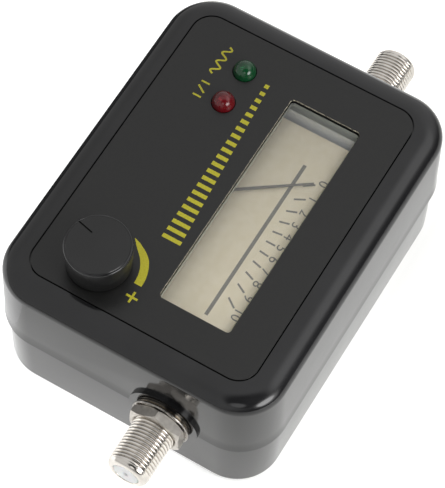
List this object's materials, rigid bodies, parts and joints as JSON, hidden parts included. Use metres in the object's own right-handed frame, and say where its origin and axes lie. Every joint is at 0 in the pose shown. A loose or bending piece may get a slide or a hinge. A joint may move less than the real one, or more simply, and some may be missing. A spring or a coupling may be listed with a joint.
{
  "type": "satellite signal meter",
  "caption": "Handheld satellite signal meter: black two-shell box with a pointer meter, level knob, indicator lamps and a threaded coaxial connector at each end.",
  "frame": {"origin": "centre of the bounding box's underside, on the case's flat back", "axes": "+X along the case in the reading direction of the dial, towards one connector; +Y across the face, towards the window side; +Z out of the face"},
  "size_m": [0.1164, 0.0666, 0.0458],
  "materials": {
    "case_black": "moulded ABS, polished tool",
    "label_film": "matt polycarbonate film, printed",
    "screw_steel": "zinc plated steel",
    "lamp_green": "green tinted clear epoxy",
    "lamp_red": "red tinted clear epoxy",
    "tinned_wire": "tinned copper",
    "zinc_steel": "zinc plated steel sheet",
    "phenolic": "phenolic paper laminate",
    "nickel": "bright nickel plated brass",
    "shaft_alloy": "die cast zinc shaft",
    "knob_black": "moulded ABS, satin",
    "white_insulator": "moulded white acetal",
    "contact_brass": "plain brass",
    "board_green": "glass epoxy with green solder resist",
    "black_epoxy": "transfer moulded epoxy",
    "blue_sleeve": "shrunk vinyl sleeve",
    "ferrite": "sintered ferrite",
    "clear_styrene": "clear polystyrene, polished tool",
    "cream_styrene": "moulded polystyrene",
    "dial_paint": "satin cream paint on aluminium",
    "alnico": "ground alnico",
    "soft_iron": "turned soft iron",
    "spring_bronze": "rolled bronze strip",
    "former_aluminium": "folded aluminium",
    "copper_wire": "enamelled copper wire",
    "pointer_paint": "grey paint on aluminium"
  },
  "bodies": {
    "case": {"upper_shell": "case_black", "lower_shell": "case_black", "face_label": "label_film", "case_screw_1": "screw_steel", "case_screw_2": "screw_steel", "case_screw_3": "screw_steel", "case_screw_4": "screw_steel", "green_lamp": "lamp_green", "red_lamp": "lamp_red", "green_lamp_anode": "tinned_wire", "green_lamp_cathode": "tinned_wire", "red_lamp_anode": "tinned_wire", "red_lamp_cathode": "tinned_wire", "control_housing": "zinc_steel", "control_can": "zinc_steel", "control_wafer": "phenolic", "control_terminal_1": "tinned_wire", "control_terminal_2": "tinned_wire", "control_terminal_3": "tinned_wire", "control_washer": "zinc_steel", "control_nut": "nickel", "right_connector_body": "nickel", "right_connector_insulator": "white_insulator", "right_connector_contact": "contact_brass", "right_connector_washer": "nickel", "right_connector_nut": "nickel", "left_connector_body": "nickel", "left_connector_insulator": "white_insulator", "left_connector_contact": "contact_brass", "left_connector_washer": "nickel", "left_connector_nut": "nickel", "circuit_board": "board_green", "amplifier_chip": "black_epoxy", "voltage_regulator": "black_epoxy", "capacitor_tall": "blue_sleeve", "capacitor_short": "blue_sleeve", "choke": "ferrite", "buzzer": "knob_black", "meter_cover": "clear_styrene", "meter_base": "cream_styrene", "dial_plate": "dial_paint", "dial_screw_left": "contact_brass", "dial_screw_right": "contact_brass", "magnet_strap": "contact_brass", "core_magnet": "alnico", "yoke_ring": "soft_iron", "bridge": "contact_brass", "jewel_screw_top": "contact_brass", "jewel_screw_bottom": "contact_brass", "hairspring_top": "spring_bronze", "hairspring_bottom": "spring_bronze", "meter_terminal_left": "tinned_wire", "meter_terminal_right": "tinned_wire"},
    "knob_shaft": {"knob": "knob_black", "control_shaft": "shaft_alloy"},
    "meter_needle": {"pointer": "pointer_paint", "coil_former": "former_aluminium", "coil_winding": "copper_wire", "pivot_top": "screw_steel", "pivot_bottom": "screw_steel"}
  },
  "joints": [
    {"name": "knob_turn", "type": "hinge", "parent": "case", "child": "knob_shaft", "pos_m": [0.0278, -0.01385, 0.04], "axis": [0, 0, -1], "range_deg": [0, 300]},
    {"name": "needle_swing", "type": "hinge", "parent": "case", "child": "meter_needle", "pos_m": [0.0033, -0.0095, 0.033], "axis": [0, 0, -1], "range_deg": [0, 72], "stiffness_Nm_per_rad": 0.00002}
  ]
}
